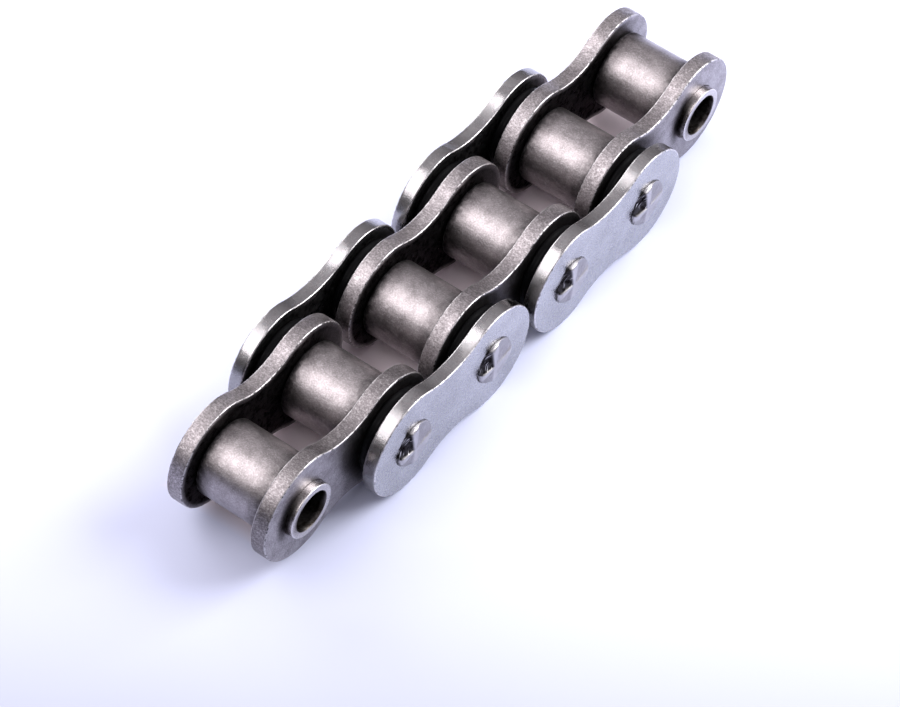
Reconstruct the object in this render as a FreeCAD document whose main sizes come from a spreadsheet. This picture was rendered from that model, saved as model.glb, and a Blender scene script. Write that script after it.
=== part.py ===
import FreeCAD, Part
import math
import os

import Sketcher

# A short length of sealed roller chain: three inner links and two outer links on four pins.
# The pins run along Y, the chain runs along X, and the plates stand on their lower edges at Z 0.
# Millimetres and degrees. Each turned piece is drawn round its own Z axis and each plate is
# drawn flat on XY with its outer face up; the placements at the end stand them in the chain.

SIZES = {
    "pitch": 15.875,
    "inner_width": 10.2,
    "inner_plate_thickness": 2.15,
    "outer_plate_thickness": 1.85,
    "plate_gap": 1.9,
    "plate_end_gap": 1.075,
    "inner_waist_depth": 2.0,
    "outer_waist_depth": 1.7,
    "plate_edge_bevel": 0.2,
    "pin_diameter": 5.4,
    "pin_stand_out": 0.7,
    "rivet_flare": 0.15,
    "stake_slope_angle": 22.0,
    "bush_wall": 0.95,
    "bush_stand_out": 1.05,
    "bush_mouth_chamfer": 0.2,
    "roller_wall": 1.35,
    "roller_side_clearance": 0.15,
    "roller_chamfer": 0.3,
    "running_clearance": 0.05,
    "seal_section_width": 2.05,
    "seal_side_clearance": 0.08,
    "seal_groove_depth": 0.35,
    "near_end_lift": 3.75,
    "far_end_lift": 1.6,
}
STAKES_PER_PIN_END = 4
STAKE_REACH_IN_PIN_RADII = 3
LEAST_STAKE_VOLUME = 0.1
FACE_FLATNESS = 0.001


class Size:
    """A length that carries its number together with the sheet expression that gives it."""

    def __init__(self, text, number):
        self.text = text
        self.number = number

    def __add__(self, other):
        return combined(self, "+", other, self.number + number_of(other))

    def __sub__(self, other):
        return combined(self, "-", other, self.number - number_of(other))

    def __mul__(self, other):
        return combined(self, "*", other, self.number * number_of(other))

    def __truediv__(self, other):
        return combined(self, "/", other, self.number / number_of(other))

    def __neg__(self):
        return Size("-(" + self.text + ")", -self.number)


def number_of(value):
    return value.number if isinstance(value, Size) else value


def text_of(value):
    return value.text if isinstance(value, Size) else repr(value)


def combined(left, sign, right, number):
    return Size("(" + text_of(left) + " " + sign + " " + text_of(right) + ")", number)


doc = FreeCAD.newDocument("chain")
sheet = doc.addObject("Spreadsheet::Sheet", "Sizes")
for row, (alias, value) in enumerate(SIZES.items(), start=1):
    sheet.set("A%d" % row, alias)
    sheet.set("B%d" % row, str(value))
    sheet.setAlias("B%d" % row, alias)
doc.recompute()


def size(alias):
    return Size("Sizes." + alias, float(getattr(sheet, alias)))


pitch = size("pitch")
half_pitch = pitch / 2
clearance = size("running_clearance")

# Radii from the pin outwards: pin, bush bore, bush, roller bore, roller, seal, plate end.
pin_radius = size("pin_diameter") / 2
rivet_radius = pin_radius + size("rivet_flare")
bush_bore_radius = pin_radius + clearance
bush_radius = bush_bore_radius + size("bush_wall")
roller_bore_radius = bush_radius + clearance
roller_radius = roller_bore_radius + size("roller_wall")
seal_bore_radius = bush_radius + clearance
seal_radius = seal_bore_radius + size("seal_section_width")
plate_end_radius = (pitch - size("plate_end_gap")) / 2

# Distances from the chain's middle plane, going outwards.
inner_plate_in = size("inner_width") / 2
inner_plate_out = inner_plate_in + size("inner_plate_thickness")
outer_plate_in = inner_plate_out + size("plate_gap")
outer_plate_out = outer_plate_in + size("outer_plate_thickness")
bush_end = inner_plate_out + size("bush_stand_out")
pin_end = outer_plate_out + size("pin_stand_out")
roller_end = inner_plate_in - size("roller_side_clearance")
seal_half_thickness = size("plate_gap") / 2 - size("seal_side_clearance")
seal_middle = inner_plate_out + size("plate_gap") / 2


def new_body(label):
    body = doc.addObject("PartDesign::Body", label)
    body.Label = label
    return body


def origin_feature(body, role):
    return next(feature for feature in body.Origin.OriginFeatures if feature.Role == role)


def new_sketch(body, name, plane_role):
    sketch = body.newObject("Sketcher::SketchObject", name)
    sketch.AttachmentSupport = [(origin_feature(body, plane_role), "")]
    sketch.MapMode = "FlatFace"
    return sketch


def bind_constraint(sketch, constraint, value):
    index = sketch.addConstraint(constraint)
    sketch.setExpression("Constraints[%d]" % index, value.text)


def turned_sketch(body, corners):
    """Half section of a turned piece: (radius, height) corners, joined by straight lines."""
    sketch = new_sketch(body, "half_section", "XZ_Plane")
    points = [FreeCAD.Vector(number_of(radius), number_of(height), 0) for radius, height in corners]
    for index, start in enumerate(points):
        sketch.addGeometry(Part.LineSegment(start, points[(index + 1) % len(points)]), False)
    for index in range(len(points)):
        following = (index + 1) % len(points)
        sketch.addConstraint(Sketcher.Constraint("Coincident", index, 2, following, 1))
    for index, (radius, height) in enumerate(corners):
        if number_of(radius) == 0:
            sketch.addConstraint(Sketcher.Constraint("PointOnObject", index, 1, -2))
        else:
            place = Sketcher.Constraint("DistanceX", -1, 1, index, 1, number_of(radius))
            bind_constraint(sketch, place, radius)
        if number_of(height) == 0:
            sketch.addConstraint(Sketcher.Constraint("PointOnObject", index, 1, -1))
        else:
            place = Sketcher.Constraint("DistanceY", -1, 1, index, 1, number_of(height))
            bind_constraint(sketch, place, height)
    return sketch


def turned_body(label, corners):
    body = new_body(label)
    sketch = turned_sketch(body, corners)
    turning = body.newObject("PartDesign::Revolution", "turning")
    turning.Profile = sketch
    turning.ReferenceAxis = (sketch, ["V_Axis"])
    turning.Angle = 360
    sketch.Visibility = False
    return body


def bush(label):
    """Plain bush pressed through both inner plates, with a chamfered mouth at each end."""
    chamfer = size("bush_mouth_chamfer")
    mouth_radius = bush_bore_radius + chamfer
    wall_end = bush_end - chamfer
    return turned_body(label, [
        (bush_radius, -bush_end),
        (bush_radius, bush_end),
        (mouth_radius, bush_end),
        (bush_bore_radius, wall_end),
        (bush_bore_radius, -wall_end),
        (mouth_radius, -bush_end),
    ])


def roller(label):
    """Roller that turns on its bush between the inner plates."""
    chamfer = size("roller_chamfer")
    rim_radius = roller_radius - chamfer
    rim_end = roller_end - chamfer
    return turned_body(label, [
        (roller_bore_radius, -roller_end),
        (rim_radius, -roller_end),
        (roller_radius, -rim_end),
        (roller_radius, rim_end),
        (rim_radius, roller_end),
        (roller_bore_radius, roller_end),
    ])


def seal(label):
    """Rubber ring round the bush end. Its rim has two lips with a groove between, as an X-ring's.

    Each lip's crest stands half-way between the groove and the ring's side face, and falls away
    to that face by half the distance between them.
    """
    groove_bottom = seal_radius - size("seal_groove_depth")
    lip_crest = seal_half_thickness / 2
    lip_foot_radius = seal_radius - lip_crest / 2
    return turned_body(label, [
        (seal_bore_radius, -seal_half_thickness),
        (lip_foot_radius, -seal_half_thickness),
        (seal_radius, -lip_crest),
        (groove_bottom, 0),
        (seal_radius, lip_crest),
        (lip_foot_radius, seal_half_thickness),
        (seal_bore_radius, seal_half_thickness),
    ])


def stake_tool_angles():
    """Expressions for the tilt and half angle of the cone that a stake presses into a pin end.

    The cone's tip is at the middle of the pin's end. It cuts the end face along two radii, with
    an equal share of the turn between them, and its lowest line falls outwards at the stake
    slope angle.
    """
    slope = "(Sizes.stake_slope_angle * 1 deg)"
    half_mouth = "(180 deg / %d)" % STAKES_PER_PIN_END
    tilt = "atan((cos(%s) - cos(%s)) / sin(%s))" % (slope, half_mouth, slope)
    return tilt, "(%s + %s)" % (tilt, slope)


def stake_pin_end(body, end_sign):
    """Scoops hollows out of a pin end, which leave a raised cross and a spread rim."""
    tilt, half_angle = stake_tool_angles()
    reach = rivet_radius * STAKE_REACH_IN_PIN_RADII
    scoop = body.newObject("PartDesign::SubtractiveCone", "stake")
    scoop.Radius1 = 0
    scoop.setExpression("Height", reach.text)
    scoop.setExpression("Radius2", "%s * tan(%s)" % (reach.text, half_angle))
    across = FreeCAD.Rotation(FreeCAD.Vector(0, 1, 0), 90)
    scoop.Placement = FreeCAD.Placement(FreeCAD.Vector(0, 0, end_sign * pin_end.number), across)
    scoop.setExpression("Placement.Base.z", (pin_end * end_sign).text)
    scoop.setExpression("Placement.Rotation.Angle", "90 deg - %d * %s" % (end_sign, tilt))
    ring = body.newObject("PartDesign::PolarPattern", "stake_ring")
    ring.Originals = [scoop]
    ring.Axis = (origin_feature(body, "Z_Axis"), [""])
    ring.Angle = 360
    ring.Occurrences = STAKES_PER_PIN_END
    body.Tip = ring


def pin(label):
    """Pin riveted through both outer plates: each end is flared and staked at four points."""
    body = turned_body(label, [
        (0, -pin_end),
        (rivet_radius, -pin_end),
        (rivet_radius, -outer_plate_out),
        (pin_radius, -outer_plate_out),
        (pin_radius, outer_plate_out),
        (rivet_radius, outer_plate_out),
        (rivet_radius, pin_end),
        (0, pin_end),
    ])
    doc.recompute()
    plain_volume = body.Shape.Volume
    for end_sign in (-1, 1):
        stake_pin_end(body, end_sign)
        doc.recompute()
        if plain_volume - body.Shape.Volume < LEAST_STAKE_VOLUME:
            raise RuntimeError("the stakes of %s cut nothing" % label)
        plain_volume = body.Shape.Volume
    return body


def plate(label, thickness, waist_depth, hole_radius):
    """Figure-of-eight link plate: two round ends, a hollow waist and two holes.

    The waist's arc touches both round ends, and its depth is how far it dips below their tops.
    """
    body = new_body(label)
    sketch = new_sketch(body, "outline", "XY_Plane")
    half_waist_height = plate_end_radius - waist_depth
    end_radius = plate_end_radius.number
    half_span = half_pitch.number
    half_waist = half_waist_height.number
    waist_radius = (half_span ** 2 + half_waist ** 2 - end_radius ** 2) / (2 * waist_depth.number)
    waist_centre = half_waist + waist_radius
    touch = math.atan2(waist_centre, half_span)
    up = FreeCAD.Vector(0, 0, 1)

    def arc(centre_x, centre_y, radius, start, end):
        circle = Part.Circle(FreeCAD.Vector(centre_x, centre_y, 0), up, radius)
        return sketch.addGeometry(Part.ArcOfCircle(circle, start, end), False)

    right = arc(half_span, 0, end_radius, touch - math.pi, math.pi - touch)
    top = arc(0, waist_centre, waist_radius, touch - math.pi, -touch)
    left = arc(-half_span, 0, end_radius, touch, 2 * math.pi - touch)
    bottom = arc(0, -waist_centre, waist_radius, touch, math.pi - touch)
    for one, one_end, other, other_end in (
        (right, 2, top, 2), (top, 1, left, 1), (left, 2, bottom, 2), (bottom, 1, right, 1),
    ):
        sketch.addConstraint(Sketcher.Constraint("Tangent", one, one_end, other, other_end))
    sketch.addConstraint(Sketcher.Constraint("PointOnObject", right, 3, -1))
    sketch.addConstraint(Sketcher.Constraint("Symmetric", left, 3, right, 3, -1, 1))
    bind_constraint(sketch, Sketcher.Constraint("DistanceX", -1, 1, right, 3, half_span), half_pitch)
    bind_constraint(sketch, Sketcher.Constraint("Radius", right, end_radius), plate_end_radius)
    sketch.addConstraint(Sketcher.Constraint("Equal", right, left))
    for waist, side in ((top, 1), (bottom, -1)):
        middle = sketch.addGeometry(Part.Point(FreeCAD.Vector(0, side * half_waist, 0)), True)
        sketch.addConstraint(Sketcher.Constraint("PointOnObject", middle, 1, -2))
        sketch.addConstraint(Sketcher.Constraint("PointOnObject", middle, 1, waist))
        height = Sketcher.Constraint("DistanceY", -1, 1, middle, 1, side * half_waist)
        bind_constraint(sketch, height, half_waist_height * side)
    for end in (left, right):
        side = -1 if end == left else 1
        hole = Part.Circle(FreeCAD.Vector(side * half_span, 0, 0), up, hole_radius.number)
        hole_index = sketch.addGeometry(hole, False)
        sketch.addConstraint(Sketcher.Constraint("Coincident", hole_index, 3, end, 3))
        radius = Sketcher.Constraint("Radius", hole_index, hole_radius.number)
        bind_constraint(sketch, radius, hole_radius)
    blank = body.newObject("PartDesign::Pad", "blank")
    blank.Profile = sketch
    blank.Length = thickness.number
    blank.setExpression("Length", thickness.text)
    sketch.Visibility = False
    bevel_outer_edge(body, blank, thickness.number)
    return body


def bevel_outer_edge(body, blank, face_height):
    """Breaks the sharp edge all round the plate's outer face, and leaves its two holes sharp."""
    doc.recompute()
    outer_face = next(face for face in blank.Shape.Faces
                      if face.BoundBox.ZLength < FACE_FLATNESS
                      and abs(face.BoundBox.ZMin - face_height) < FACE_FLATNESS)
    rim = ["Edge%d" % number for number, edge in enumerate(blank.Shape.Edges, start=1)
           if any(edge.isSame(outline_edge) for outline_edge in outer_face.OuterWire.Edges)]
    bevel = body.newObject("PartDesign::Chamfer", "edge_break")
    bevel.Base = (blank, rim)
    bevel.setExpression("Size", size("plate_edge_bevel").text)
    body.Tip = bevel


def inner_plate(label):
    return plate(label, size("inner_plate_thickness"), size("inner_waist_depth"), bush_radius)


def outer_plate(label):
    return plate(label, size("outer_plate_thickness"), size("outer_waist_depth"), pin_radius)


# Each link's frame has its origin on the axis of the link's first pin or bush, and its X axis
# towards the next one. The end links are lifted a little, as they lie when the chain is put down.
near_lift = math.radians(size("near_end_lift").number)
far_lift = math.radians(size("far_end_lift").number)
step = pitch.number
first_axis_x = step - step * math.cos(near_lift)
last_axis_x = 4 * step + step * math.cos(far_lift)
middle_x = (first_axis_x + last_axis_x) / 2
axis_height = plate_end_radius.number
along_y = FreeCAD.Vector(0, 1, 0)


def link_frame(axis_x, lift, turn_degrees):
    place = FreeCAD.Vector(axis_x - middle_x, 0, axis_height + lift)
    return FreeCAD.Placement(place, FreeCAD.Rotation(along_y, turn_degrees))


LINK_FRAMES = [
    link_frame(first_axis_x, step * math.sin(near_lift), math.degrees(near_lift)),
    link_frame(step, 0, 0),
    link_frame(2 * step, 0, 0),
    link_frame(3 * step, 0, 0),
    link_frame(4 * step, 0, -math.degrees(far_lift)),
]
SIDES = {"near": -1, "far": 1}


def stand_plate(body, link, side, face_in):
    """Stands a flat plate on edge, its outer face turned away from the chain's middle plane."""
    place = FreeCAD.Vector(half_pitch.number, side * face_in.number, 0)
    turn = FreeCAD.Rotation(FreeCAD.Vector(1, 0, 0), -90 * side)
    body.Placement = LINK_FRAMES[link].multiply(FreeCAD.Placement(place, turn))


def lay_turned(body, link, along, middle, spin=0):
    """Lays a turned piece across the chain, at its first (0) or second (1) axis in a link."""
    place = FreeCAD.Vector(along * pitch.number, middle, 0)
    turn = FreeCAD.Rotation(FreeCAD.Vector(1, 0, 0), 90).multiply(
        FreeCAD.Rotation(FreeCAD.Vector(0, 0, 1), spin))
    body.Placement = LINK_FRAMES[link].multiply(FreeCAD.Placement(place, turn))


sub_parts = []
for number, link in enumerate((0, 2, 4), start=1):
    for name, side in SIDES.items():
        piece = inner_plate("%s_inner_plate_%d" % (name, number))
        stand_plate(piece, link, side, inner_plate_in)
        sub_parts.append(piece)
    for along in (0, 1):
        axis_number = 2 * number - 1 + along
        for make, name in ((bush, "bush"), (roller, "roller")):
            piece = make("%s_%d" % (name, axis_number))
            lay_turned(piece, link, along, 0)
            sub_parts.append(piece)

for number, link in enumerate((1, 3), start=1):
    for name, side in SIDES.items():
        piece = outer_plate("%s_outer_plate_%d" % (name, number))
        stand_plate(piece, link, side, outer_plate_in)
        sub_parts.append(piece)
    for along in (0, 1):
        piece = pin("pin_%d" % (2 * number - 1 + along))
        lay_turned(piece, link, along, 0, spin=45)
        sub_parts.append(piece)

# A seal sits on each bush end that an outer plate covers: those of the four pins.
for number, (link, along) in enumerate(((0, 1), (2, 0), (2, 1), (4, 0)), start=1):
    for name, side in SIDES.items():
        piece = seal("%s_seal_%d" % (name, number))
        lay_turned(piece, link, along, side * seal_middle.number)
        sub_parts.append(piece)

doc.recompute()

for item in doc.Objects:
    if "Invalid" in item.State or "Error" in item.State:
        raise RuntimeError("%s did not recompute" % item.Name)
for piece in sub_parts:
    if piece.Shape.isNull() or not piece.Shape.isValid() or len(piece.Shape.Solids) != 1:
        raise RuntimeError("%s is not one valid solid" % piece.Label)

os.makedirs("parts", exist_ok=True)
for piece in sub_parts:
    piece.Shape.exportStep("parts/%s.step" % piece.Label)
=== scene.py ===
"""Looks of a short length of sealed roller chain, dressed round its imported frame.

The boxes of the rollers give the six axes that the links hang on. Round those axes each piece
gets a finer mesh than its solid has: plates with die-rolled edges, pins staked at four points,
rollers and bushes with rounded rims, and ring seals with four lobes. Lengths are in metres.
"""

import logging
import math
from dataclasses import dataclass, field, replace
from enum import Enum
from typing import ClassVar, Iterator, Sequence

import bmesh
import bpy
from mathutils import Matrix, Vector, noise


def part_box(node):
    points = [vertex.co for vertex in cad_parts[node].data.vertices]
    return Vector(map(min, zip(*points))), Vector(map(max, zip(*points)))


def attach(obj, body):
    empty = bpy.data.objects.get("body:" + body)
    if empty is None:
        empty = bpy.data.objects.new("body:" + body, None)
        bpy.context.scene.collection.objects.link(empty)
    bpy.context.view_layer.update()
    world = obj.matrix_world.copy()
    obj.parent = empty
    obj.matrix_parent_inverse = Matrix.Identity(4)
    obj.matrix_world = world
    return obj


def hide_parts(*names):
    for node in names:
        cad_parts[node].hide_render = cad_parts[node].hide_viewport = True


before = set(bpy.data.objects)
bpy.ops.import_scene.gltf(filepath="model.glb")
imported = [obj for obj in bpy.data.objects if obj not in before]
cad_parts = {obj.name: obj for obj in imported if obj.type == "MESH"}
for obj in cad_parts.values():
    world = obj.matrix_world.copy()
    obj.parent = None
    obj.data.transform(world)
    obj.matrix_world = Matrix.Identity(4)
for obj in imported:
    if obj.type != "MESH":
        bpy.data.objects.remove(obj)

Socket = bpy.types.NodeSocket
Colour = tuple[float, float, float]
Span = tuple[float, float]

LOG = logging.getLogger("chain")
MM = 0.001
INNER_LINKS = 3
OUTER_LINKS = INNER_LINKS - 1
WHITE: Colour = (1.0, 1.0, 1.0)
# Above 50, a large face draws the shading at its corners towards its own.
LARGE_FACE_WEIGHT = 60


class Side(Enum):
    """Which side of the chain's middle plane a piece lies on."""

    NEAR = -1
    FAR = 1

    @property
    def word(self) -> str:
        """Side's word in the names of nodes."""
        return self.name.lower()


class Slot(Enum):
    """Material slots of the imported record."""

    INNER_PLATE = "inner_plate_steel"
    OUTER_PLATE = "outer_plate_steel"
    PIN = "pin_steel"
    BUSH = "bush_steel"
    ROLLER = "roller_steel"
    SEAL = "seal_rubber"


@dataclass(frozen=True)
class ChainSizes:
    """Real sizes that the boxes of the frame don't give.

    Attributes:
        pitch: distance between neighbouring axes.
        plate_end_radius: radius of the plates' round ends.
        inner_waist_depth: how far the waist of an inner plate dips below the tops of its ends.
        outer_waist_depth: the same for an outer plate.
        pin_radius: radius of the pins between their heads.
        pin_stand_out: how far the pins stand out of the outer plates.
        bush_bore_radius: radius of the bushes' bore.
        bush_radius: radius of the bushes outside.
        roller_bore_radius: radius of the rollers' bore.
        seal_bore_radius: radius of the seals' bore.
    """

    pitch: float = 15.875 * MM
    plate_end_radius: float = 7.4 * MM
    inner_waist_depth: float = 2.0 * MM
    outer_waist_depth: float = 1.7 * MM
    pin_radius: float = 2.7 * MM
    pin_stand_out: float = 0.7 * MM
    bush_bore_radius: float = 2.75 * MM
    bush_radius: float = 3.7 * MM
    roller_bore_radius: float = 3.75 * MM
    seal_bore_radius: float = 3.75 * MM


SIZES = ChainSizes()


@dataclass
class ChainLine:
    """Line of the chain: the axes across it and the frames of the links between them.

    Attributes:
        axes: the middle of each axis, in order along +X.
    """

    axes: list[Vector]

    @classmethod
    def from_frame(cls) -> "ChainLine":
        """Reads the axes from the boxes of the rollers.

        Returns:
            ChainLine: the line, with one axis for each roller.
        """
        boxes = [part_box(f"roller_{number}") for number in range(1, 2 * INNER_LINKS + 1)]
        return cls([(low + high) / 2 for low, high in boxes])

    def link(self, number: int) -> Matrix:
        """Frame of one link.

        Args:
            number: the link, from 0 at the end nearest the camera to 4 at the other end.

        Returns:
            Matrix: takes x along the link from its first axis, y across the chain and z up the
            link's plates to the row frame.
        """
        start, end = self.axes[number], self.axes[number + 1]
        turn = math.atan2(end.z - start.z, end.x - start.x)
        return Matrix.Translation(start) @ Matrix.Rotation(-turn, 4, "Y")


@dataclass
class MeshData:
    """Vertices and faces of a mesh, with the marks that its finish reads at each vertex.

    Attributes:
        points: places of the vertices.
        faces: vertex indices of the faces.
        marks: for each vertex, "edge" is 1 on a rubbed corner, "band" is 1 on a plate's sheared
        edge, and "grime" is 1 where oil and dirt have gathered and where shade is
        painted into gaps, recesses and rims.
    """

    points: list[Vector] = field(default_factory=list)
    faces: list[tuple[int, ...]] = field(default_factory=list)
    marks: dict[str, list[float]] = field(
        default_factory=lambda: {"edge": [], "band": [], "grime": []})

    def add(self, point: Vector, edge: float = 0.0, band: float = 0.0, grime: float = 0.0) -> int:
        """Adds a vertex and its marks.

        Args:
            point: place of the vertex.
            edge: how far the vertex is a rubbed corner, 0 to 1.
            band: how far it belongs to a sheared edge, 0 to 1.
            grime: how dirty it is and how much shade is painted on it, 0 to 1.

        Returns:
            int: the vertex's index.
        """
        self.points.append(point)
        for mark, value in (("edge", edge), ("band", band), ("grime", grime)):
            self.marks[mark].append(value)
        return len(self.points) - 1

    def join_rings(self, first: Sequence[int], second: Sequence[int]) -> None:
        """Adds a closed strip of quads between two rings of the same length.

        Args:
            first: vertex indices of one ring.
            second: vertex indices of the other ring.
        """
        count = len(first)
        for index in range(count):
            following = (index + 1) % count
            self.faces.append((first[index], first[following], second[following], second[index]))

    def to_object(self, name: str, place: Matrix) -> bpy.types.Object:
        """Makes the object, with its normals outward and its faces smooth.

        Args:
            name: the object's name.
            place: frame that the points are given in.

        Returns:
            bpy.types.Object: the new object, linked to the scene.
        """
        mesh = bpy.data.meshes.new(name)
        mesh.from_pydata([place @ point for point in self.points], [], self.faces)
        for mark, values in self.marks.items():
            mesh.attributes.new(mark, "FLOAT", "POINT").data.foreach_set("value", values)
        mesh.validate()
        face_outward(mesh)
        mesh.shade_smooth()
        piece = bpy.data.objects.new(name, mesh)
        bpy.context.scene.collection.objects.link(piece)
        piece.modifiers.new("even_normals", "WEIGHTED_NORMAL").weight = LARGE_FACE_WEIGHT
        return piece


def face_outward(mesh: bpy.types.Mesh) -> None:
    """Turns every face of a closed mesh outward.

    Args:
        mesh: the mesh to change.
    """
    shell = bmesh.new()
    shell.from_mesh(mesh)
    bmesh.ops.recalc_face_normals(shell, faces=shell.faces)
    shell.to_mesh(mesh)
    shell.free()


def circle(radius: float, segments: int) -> Iterator[tuple[float, float]]:
    """Points of a circle round the origin.

    Args:
        radius: its radius.
        segments: number of points.

    Yields:
        tuple[float, float]: each point, anticlockwise from the one on the first axis.
    """
    for step in range(segments):
        turn = 2 * math.pi * step / segments
        yield radius * math.cos(turn), radius * math.sin(turn)


@dataclass(frozen=True)
class Corner:
    """Corner of a turned piece's half section.

    Attributes:
        radius: distance from the axis.
        along: place along the axis.
        fillet: radius that the corner is rounded to.
        grime: how dirty the section is there and how much shade is painted on it, 0 to 1.
    """

    radius: float
    along: float
    fillet: float = 0.0
    grime: float = 0.0


@dataclass(frozen=True)
class SectionPoint:
    """Point of a rounded half section.

    Attributes:
        radius: distance from the axis.
        along: place along the axis.
        edge: how far the point is a rubbed corner, 0 to 1.
        grime: how dirty it is and how much shade is painted on it, 0 to 1.
    """

    radius: float
    along: float
    edge: float = 0.0
    grime: float = 0.0


def rounded_corner(before: Corner, corner: Corner, following: Corner, steps: int) -> list[SectionPoint]:
    """Rounds one corner of a half section.

    Args:
        before: the corner before it.
        corner: the corner to round.
        following: the corner after it.
        steps: number of chords in its arc.

    Returns:
        list[SectionPoint]: the arc's points, or the corner alone if it has no fillet.
    """
    here = Vector((corner.radius, corner.along))
    if corner.fillet == 0.0:
        return [SectionPoint(here.x, here.y, grime=corner.grime)]
    to_before = Vector((before.radius, before.along)) - here
    to_following = Vector((following.radius, following.along)) - here
    half_angle = to_before.angle(to_following) / 2
    reach = corner.fillet / math.tan(half_angle)
    bisector = (to_before.normalized() + to_following.normalized()).normalized()
    centre = here + bisector * (corner.fillet / math.sin(half_angle))
    start = here + to_before.normalized() * reach - centre
    end = here + to_following.normalized() * reach - centre
    sweep = start.angle_signed(end)
    arc = []
    for step in range(steps + 1):
        share = step / steps
        turned = start.copy()
        turned.rotate(Matrix.Rotation(-sweep * share, 2))
        spot = centre + turned
        arc.append(SectionPoint(spot.x, spot.y, math.sin(math.pi * share), corner.grime))
    return arc


def rounded_section(corners: Sequence[Corner], spacing: float, steps: int = 5) -> list[SectionPoint]:
    """Rounds the corners of a closed half section and divides its straight lines.

    Args:
        corners: the section's corners, in order round it.
        spacing: longest distance between two points of a straight line.
        steps: number of chords in each rounded corner.

    Returns:
        list[SectionPoint]: the points, in the same order.
    """
    arcs = [rounded_corner(corners[index - 1], corner, corners[(index + 1) % len(corners)], steps)
            for index, corner in enumerate(corners)]
    section: list[SectionPoint] = []
    for index, arc in enumerate(arcs):
        section.extend(arc)
        start, end = arc[-1], arcs[(index + 1) % len(arcs)][0]
        length = math.hypot(end.radius - start.radius, end.along - start.along)
        parts = max(1, math.ceil(length / spacing))
        for part in range(1, parts):
            share = part / parts
            section.append(SectionPoint(
                start.radius + (end.radius - start.radius) * share,
                start.along + (end.along - start.along) * share,
                grime=start.grime + (end.grime - start.grime) * share))
    return section


def revolve(section: Sequence[SectionPoint], segments: int) -> MeshData:
    """Turns a closed half section round the Y axis.

    Args:
        section: the section's points.
        segments: number of copies round the axis.

    Returns:
        MeshData: a closed ring.
    """
    data = MeshData()
    rings = []
    for point in section:
        rings.append([data.add(Vector((x, point.along, z)), edge=point.edge, grime=point.grime)
                      for x, z in circle(point.radius, segments)])
    for index, ring in enumerate(rings):
        data.join_rings(ring, rings[(index + 1) % len(rings)])
    return data


@dataclass(frozen=True)
class Pattern:
    """Fractal noise in a finish, and the span of it that counts.

    Attributes:
        scale: number of features in a millimetre.
        detail: number of octaves.
        roughness: strength of the finer octaves.
        span: noise at the low end of the result, and noise at its high end.
    """

    scale: float = 1.0
    detail: float = 4.0
    roughness: float = 0.55
    span: Span = (0.3, 0.7)

    def at(self, scale: float) -> "Pattern":
        """The same pattern at another scale."""
        return replace(self, scale=scale)


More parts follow.
